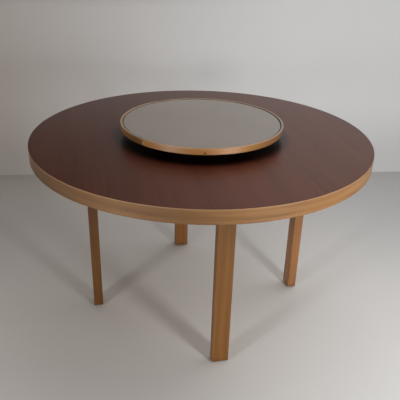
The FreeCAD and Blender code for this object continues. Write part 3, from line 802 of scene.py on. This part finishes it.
def slotted_head(radius, thickness, slot_width, slot_depth, rows=HEAD_ROWS):
    """Countersunk screw head with a straight slot, its face at height 0.

    The head is cut into chords across the slot. Each chord is a four-cornered ring: its upper corners lie
    on the face, or on the slot's floor between the slot's walls, and its lower corners on the smaller
    underside. A corner's half width follows from Pythagoras on the circle at its height. The lower corners
    at the slot's walls are parted a little, so that no two of them meet.
    """
    half_slot = slot_width / 2
    edge = np.linspace(0.0, 1.0, rows)
    side = half_slot + (OUTER_CHORD * radius - half_slot) * np.sin(edge * np.pi / 2)
    across = np.concatenate([-side[::-1], [-half_slot, half_slot], side])
    sunk = np.zeros(len(across))
    sunk[rows:rows + 2] = slot_depth
    under = (radius - thickness) * across / radius
    under[rows - 1:rows + 3] += np.array([-1, 1, -1, 1]) * CHORD_PARTING * thickness
    upper = half_chord(radius - sunk, across)
    lower = half_chord(radius - thickness, under)
    depth = np.full(len(across), -thickness)
    corners = [(upper, across, -sunk), (-upper, across, -sunk), (-lower, under, depth), (lower, under, depth)]
    return skin(np.stack([np.stack(corner, axis=-1) for corner in corners], axis=1))


def slotted_screw(head, shank, reach):
    """Countersunk wood screw along Z with its face at height 0: slotted head, then the turned shank and point."""
    radius, core = head / 2, shank / 2
    thickness = HEAD_SHARE * (radius - core)
    profile = [
        (radius - thickness, -HEAD_OVERLAP * thickness),
        (core, core - radius),
        (core, 2 * core - reach),
        (POINT_SHARE * core, -reach),
    ]
    face = slotted_head(radius, thickness, SLOT_WIDTH_SHARE * head, SLOT_DEPTH_SHARE * thickness)
    return [face, lathe(profile, SCREW_SEGMENTS)]


def moved(shells, place, axis, turn):
    """Shells whose Z axis points along a new axis at a new place, first turned about their own Z.

    The new X axis is level: it is square to the upright and to the new axis. Where the new axis is itself
    upright, X stays.
    """
    z = np.asarray(axis, float)
    x = np.cross(UP, z) if abs(z[2]) < NEARLY_UPRIGHT else np.array((1.0, 0.0, 0.0))
    x /= np.linalg.norm(x)
    y = np.cross(z, x)
    cosine, sine = math.cos(turn), math.sin(turn)
    axes = np.stack([x * cosine + y * sine, y * cosine - x * sine, z])
    return [(vertices @ axes + np.asarray(place), *faces) for vertices, *faces in shells]


def add_piece(name, shells, material):
    """One mesh object from shells, smooth, with sharp edges where faces meet at a sharp angle."""
    starts = np.cumsum([0, *(len(vertices) for vertices, *_ in shells)])
    vertices = np.concatenate([vertices for vertices, *_ in shells])
    faces = []
    for (_, *groups), start in zip(shells, starts):
        for group in groups:
            faces += (group + start).tolist()
    mesh = bpy.data.meshes.new(name)
    mesh.from_pydata(vertices.tolist(), [], faces)
    mesh.polygons.foreach_set("use_smooth", np.ones(len(faces), bool))
    mesh.update()
    mesh.set_sharp_from_angle(angle=SHARP_ANGLE)
    mesh.materials.append(material)
    piece = bpy.data.objects.new(name, mesh)
    bpy.context.scene.collection.objects.link(piece)
    return piece


# Stage

def in_view(x, y):
    """A place as the camera sees it: how far to the right of the table's middle, and how far behind it."""
    return tuple(x * float(way[0]) + y * float(way[1]) for way in (RIGHT, BACK))


def plaster_tint(paint, dim, pale, edge):
    """Pale plain tint with faint mottling, duller to the left of the room and near the floor: painted shade on the
    floor.
    """
    x, y, z = paint.place()
    mottle = paint.noise(*(part * PLASTER_MOTTLE_PER_METRE for part in (x, y, z)))
    rightward, _ = in_view(x, y)
    lowness = paint.ease(z, PLASTER_LOW_REACH, 0.0)
    paleness = paint.ease(rightward, *edge) - lowness * PLASTER_LOW_DROP + (mottle - 0.5) * PLASTER_UNEVEN
    return paint.blend(paleness, dim, pale)


def one_sided(paint):
    """Makes the back of a surface clear, so that it hides nothing when seen from behind."""
    behind = paint.node("ShaderNodeNewGeometry", output="Backfacing")
    clear = paint.node("ShaderNodeBsdfTransparent")
    painted = Socket(paint, paint.shader.outputs[0])
    shown = paint.node("ShaderNodeMixShader", {}, {0: behind, 1: painted, 2: clear})
    paint.feed(paint.tree.nodes["Material Output"].inputs["Surface"], shown)
    return paint.material


def add_sheet(name, corners, material):
    """Flat four-cornered stage piece."""
    sheet = add_piece(name, [(np.array(corners, float), np.array([[0, 1, 2, 3]]))], material)


def add_floor(stage):
    """Wide square floor; away from its right, painted shade in a band across the view behind the table's middle.
    """
    paint = Paint("floor", {"Roughness": FLOOR_ROUGHNESS})
    # Painted shade: darker to the left, where the room is dim.
    tint = plaster_tint(paint, stage.painted_shade_floor, stage.floor, FLOOR_SHADE_EDGE)
    x, y, _ = paint.place()
    rightward, backward = in_view(x, y)
    # Painted light in front and at the far back, painted shade in the band between; none on the right.
    unshaded = (1.0 - paint.ease(backward, *SHADE_BAND_FRONT)) + paint.ease(backward, *SHADE_BAND_BACK)
    leftward = 1.0 - paint.ease(rightward, *SHADE_BAND_RIGHT)
    paint.set({"Base Color": paint.shade(tint, (unshaded * PAINTED_LIGHT_LIFT - PAINTED_SHADE_DROP) * leftward + 1.0)})
    reach = FLOOR_REACH
    corners = ((-reach, -reach, 0.0), (reach, -reach, 0.0), (reach, reach, 0.0), (-reach, reach, 0.0))
    add_sheet("floor", corners, one_sided(paint))


def add_wall(stage):
    """Straight backdrop behind the table: its foot is a line across the view, carried up.

    Its glow falls off near the floor, and along the upper edge to the left.
    """
    paint = Paint("wall", {
        "Base Color": opaque(stage.wall_paint), "Roughness": WALL_ROUGHNESS, "Emission Strength": 1.0})
    glow = plaster_tint(paint, stage.dim_wall, stage.wall, WALL_EDGE)
    x, y, z = paint.place()
    rightward, _ = in_view(x, y)
    near_floor = (1.0 - paint.ease(z, *WALL_FOOT_EDGE)) * WALL_FOOT_DROP
    dusk = paint.ease(z, *DUSK_HEIGHT) * (1.0 - paint.ease(rightward, *DUSK_SIDE)) * DUSK_DROP
    paint.set({"Emission Color": paint.shade(glow, 1.0 - near_floor - dusk)})
    heading = VIEW_TURN + WALL_TURN
    across = WALL_REACH * np.array((math.cos(heading), math.sin(heading), 0.0))
    away = WALL_AWAY * np.array((-math.sin(heading), math.cos(heading), 0.0))
    up = WALL_HEIGHT * UP
    add_sheet("wall", (away - across, away + across, away + across + up, away - across + up), one_sided(paint))


def add_lamp(name, lamp, watts):
    """Square soft lamp that looks at its target and isn't seen itself."""
    light = bpy.data.lights.new(name, "AREA")
    light.shape = "SQUARE"
    light.size = lamp.size
    light.spread = LAMP_SPREAD
    light.energy = watts
    holder = bpy.data.objects.new(name, light)
    back = np.subtract(lamp.place, lamp.target)
    tip = math.atan2(math.hypot(back[0], back[1]), back[2])
    holder.location = lamp.place
    holder.rotation_euler = (tip, 0.0, math.atan2(back[0], -back[1]))
    holder.visible_camera = False
    bpy.context.scene.collection.objects.link(holder)


def light_room(stage):
    """Room light, brightest from behind and above the table.

    The camera sees an even pale backdrop, and gloss and glass show a room with a pale side.
    """
    world = bpy.data.worlds.new("room")
    world.use_nodes = True
    board = Board(world.node_tree)
    background = world.node_tree.nodes["Background"]
    way = board.node("ShaderNodeTexCoord", output="Generated")
    dim, bright = (scaled(stage.sky, strength) for strength in (stage.dim_strength, stage.sky_strength))
    lit = board.blend(board.ease(board.along(way, BRIGHT_SIDE), *BRIGHT_EDGE), dim, bright)
    paleness = board.ease(board.along(way, PALE_SIDE), *PALE_EDGE)
    mirrored = board.blend(paleness, stage.dim_mirrored, stage.mirrored)
    rays = board.node("ShaderNodeLightPath", output="Is Camera Ray")
    shown = board.blend(rays.out("Is Glossy Ray"), lit, mirrored)
    shown = board.blend(rays.out("Is Transmission Ray"), shown, mirrored)
    backdrop = scaled(stage.floor, BACKDROP_SHARE)
    board.feed(background.inputs["Color"], board.blend(rays, shown, backdrop))
    bpy.context.scene.world = world


def add_camera(stage):
    """Camera at the photograph's place: turned round the table, tipped down and rolled a little."""
    camera = bpy.data.cameras.new("camera")
    camera.sensor_width = SENSOR_WIDTH
    camera.lens = stage.lens
    holder = bpy.data.objects.new("camera", camera)
    heading = Matrix.Rotation(CAMERA_HEADING, 4, "Z")
    tip = Matrix.Rotation(math.pi / 2 - CAMERA_DIP, 4, "X")
    roll = Matrix.Rotation(CAMERA_ROLL, 4, "Z")
    holder.matrix_world = Matrix.Translation(CAMERA_PLACE) @ heading @ tip @ roll
    bpy.context.scene.collection.objects.link(holder)
    bpy.context.scene.camera = holder


# Operators

class DressFaceVeneer(bpy.types.Operator):
    """Veneer of the table top."""
    bl_idname = "dining_table.face_veneer"
    bl_label = "Face veneer"

    def execute(self, context):
        dress("top_veneer", face_veneer_paint(table_settings().veneer))
        return {"FINISHED"}


class DressEdgeBand(bpy.types.Operator):
    """Bent band round the top."""
    bl_idname = "dining_table.edge_band"
    bl_label = "Edge band"

    def execute(self, context):
        honey = table_settings().honey
        dress("edge_band", bent_ring_paint(
            "honey_band", EDGE_BAND, honey, (honey.band_light, honey.band_dark), honey.band_gloss,
            honey.band_joint, honey.fleck))
        return {"FINISHED"}


class DressLegs(bpy.types.Operator):
    """Bent legs with the veneers in their knees."""
    bl_idname = "dining_table.legs"
    bl_label = "Legs"

    def execute(self, context):
        honey, legs = table_settings().honey, table_settings().legs
        for number, (place, degrees) in enumerate(LEG_ANGLES.items()):
            turn, tone, step = math.radians(degrees), LEG_TONES_AND_LIGHT[place], SEED_STEP * number
            dress(f"leg_{place}", bent_leg_paint(
                f"honey_leg_{place}", honey, legs, turn, tone, LEG_SEED + step))
            dress(f"knee_veneers_{place}", bent_leg_paint(
                f"knee_veneer_{place}", honey, legs, turn, tone, KNEE_VENEER_SEED + step, honey.knee_veneer))
        return {"FINISHED"}


class BuildLegScrews(bpy.types.Operator):
    """Slotted screws that hold the arms to the core."""
    bl_idname = "dining_table.leg_screws"
    bl_label = "Leg screws"

    def execute(self, context):
        legs = table_settings().legs
        screw = slotted_screw(legs.screw_head, legs.screw_shank, legs.screw_length)
        shells = []
        for number, degrees in enumerate(LEG_ANGLES.values()):
            cosine, sine = math.cos(math.radians(degrees)), math.sin(math.radians(degrees))
            for pair, reach in enumerate((legs.screw_near, legs.screw_far)):
                for side in (-1, 1):
                    aside = side * legs.screw_spread / 2
                    place = (reach * cosine - aside * sine, reach * sine + aside * cosine, ARM_UNDERSIDE)
                    slot_turn = LEG_SLOT_TURN + LEG_SLOT_STEP * number + PAIR_SLOT_STEP * pair + side
                    shells += moved(screw, place, -UP, slot_turn)
        piece = add_piece("slotted_leg_screws", shells, speckled_paint("screw_steel", SCREW_STEEL))
        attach(piece, "table")
        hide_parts("leg_screws")
        return {"FINISHED"}


class DressFootGlides(bpy.types.Operator):
    """Plastic glides under the legs."""
    bl_idname = "dining_table.foot_glides"
    bl_label = "Foot glides"

    def execute(self, context):
        dress("foot_glides", speckled_paint("glide_plastic", GLIDE_PLASTIC))
        return {"FINISHED"}


class DressUnderside(bpy.types.Operator):
    """Core of the top and its backing veneer."""
    bl_idname = "dining_table.underside"
    bl_label = "Underside"

    def execute(self, context):
        dress("top_core", flat_wood_paint(
            "core_blockboard", light=(0.52, 0.36, 0.20), dark=(0.42, 0.27, 0.14), gloss=0.6,
            strip_width=28.0 * MM))
        dress("backing_veneer", flat_wood_paint(
            "backing", light=(0.50, 0.33, 0.175), dark=(0.39, 0.245, 0.12), gloss=0.5))
        return {"FINISHED"}


class DressTurntableRim(bpy.types.Operator):
    """Bent rim of the turntable."""
    bl_idname = "dining_table.turntable_rim"
    bl_label = "Turntable rim"

    def execute(self, context):
        honey = table_settings().honey
        dress("turntable_rim", bent_ring_paint(
            "honey_rim", TURNTABLE_RIM, honey, (honey.rim_light, honey.rim_dark), honey.rim_gloss,
            honey.rim_joint, honey.joint))
        return {"FINISHED"}


class BuildRimScrews(bpy.types.Operator):
    """Slotted screws through the turntable's rim."""
    bl_idname = "dining_table.rim_screws"
    bl_label = "Rim screws"

    def execute(self, context):
        turntable = table_settings().turntable
        screw = slotted_screw(turntable.screw_head, turntable.screw_shank, turntable.screw_length)
        shells = []
        for number in range(RIM_SCREW_COUNT):
            turn = turntable.screw_turn + number * 2 * math.pi / RIM_SCREW_COUNT
            out = np.array((math.cos(turn), math.sin(turn), 0.0))
            shells += moved(
                screw, RIM_RADIUS * out + RIM_SCREW_LEVEL * UP, out, RIM_SLOT_TURN + RIM_SLOT_STEP * number)
        piece = add_piece("slotted_rim_screws", shells, speckled_paint("rim_screw_brass", RIM_SCREW_BRASS))
        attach(piece, "turntable")
        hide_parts("rim_screws")
        return {"FINISHED"}


class DressPane(bpy.types.Operator):
    """Pane of the turntable and the pads under it."""
    bl_idname = "dining_table.pane"
    bl_label = "Pane"

    def execute(self, context):
        dress("turntable_pane", pane_paint(table_settings().turntable))
        dress("pane_pads", speckled_paint("felt", FELT))
        return {"FINISHED"}


class DressPanel(bpy.types.Operator):
    """Panel inside the turntable's rim."""
    bl_idname = "dining_table.panel"
    bl_label = "Turntable panel"

    def execute(self, context):
        shade_stain = table_settings().turntable.base
        # Painted shade: the panel's near-black stain stands in for the shade under the turntable.
        dress("turntable_panel", flat_wood_paint("dark_panel", scaled(shade_stain, STAIN_STREAK), shade_stain, gloss=0.5))
        return {"FINISHED"}


class DressBase(bpy.types.Operator):
    """Turntable base and its rubber pads."""
    bl_idname = "dining_table.base"
    bl_label = "Turntable base"

    def execute(self, context):
        shade_stain = table_settings().turntable.base
        # Painted shade: the base's near-black stain stands in for the shade under the turntable.
        dress("turntable_base", flat_wood_paint("dark_base", scaled(shade_stain, STAIN_STREAK), shade_stain, gloss=0.42))
        dress("base_pads", speckled_paint("pad_rubber", PAD_RUBBER))
        return {"FINISHED"}


class DressBearing(bpy.types.Operator):
    """Ball ring: two turned rings, their screws, the balls and the cage."""
    bl_idname = "dining_table.bearing"
    bl_label = "Bearing"

    def execute(self, context):
        ring_metal = turned_metal_paint(
            "ring_metal", light=(0.66, 0.66, 0.67), dark=(0.56, 0.56, 0.57), gloss=0.34)
        screw_metal = speckled_paint("ring_screw_steel", SCREW_STEEL)
        for side in ("outer", "inner"):
            dress(f"bearing_{side}_ring", ring_metal)
            dress(f"{side}_ring_screws", screw_metal)
        dress("bearing_balls", speckled_paint("ball_steel", BALL_STEEL))
        dress("ball_cage", speckled_paint("cage_plastic", CAGE_PLASTIC))
        return {"FINISHED"}


class BuildStage(bpy.types.Operator):
    """Floor, backdrop, lamps, room light and camera."""
    bl_idname = "dining_table.stage"
    bl_label = "Stage"

    def execute(self, context):
        stage = table_settings().stage
        add_floor(stage)
        add_wall(stage)
        add_lamp("key_lamp", KEY_LAMP, stage.key_power)
        add_lamp("fill_lamp", FILL_LAMP, stage.fill_power)
        light_room(stage)
        add_camera(stage)
        context.scene.view_settings.view_transform = "Standard"
        return {"FINISHED"}


OPERATORS = (
    DressFaceVeneer, DressEdgeBand, DressLegs, BuildLegScrews, DressFootGlides, DressUnderside,
    DressTurntableRim, BuildRimScrews, DressPane, DressPanel, DressBase, DressBearing, BuildStage,
)


class DiningTablePanel(bpy.types.Panel):
    """Sidebar panel with the table's settings and the operators that dress it."""
    bl_idname = "VIEW3D_PT_dining_table"
    bl_label = "Dining table"
    bl_space_type = "VIEW_3D"
    bl_region_type = "UI"
    bl_category = "Dining table"

    def draw(self, context):
        table = context.scene.dining_table
        for part in ("veneer", "honey", "legs", "turntable", "stage"):
            box = self.layout.box()
            group = getattr(table, part)
            box.label(text=table.bl_rna.properties[part].name)
            for key in group.bl_rna.properties.keys():
                if key not in ("rna_type", "name"):
                    box.prop(group, key)
        for operator in OPERATORS:
            self.layout.operator(operator.bl_idname)


CLASSES = (
    FaceVeneerSettings, HoneyWoodSettings, LegSettings, TurntableSettings, StageSettings, DiningTableSettings,
    *OPERATORS, DiningTablePanel,
)


def register():
    for cls in CLASSES:
        bpy.utils.register_class(cls)
    bpy.types.Scene.dining_table = PointerProperty(type=DiningTableSettings)


def unregister():
    del bpy.types.Scene.dining_table
    for cls in reversed(CLASSES):
        bpy.utils.unregister_class(cls)


def main():
    register()
    for operator in OPERATORS:
        group, name = operator.bl_idname.split(".")
        getattr(getattr(bpy.ops, group), name)()


if __name__ == "__main__":
    main()
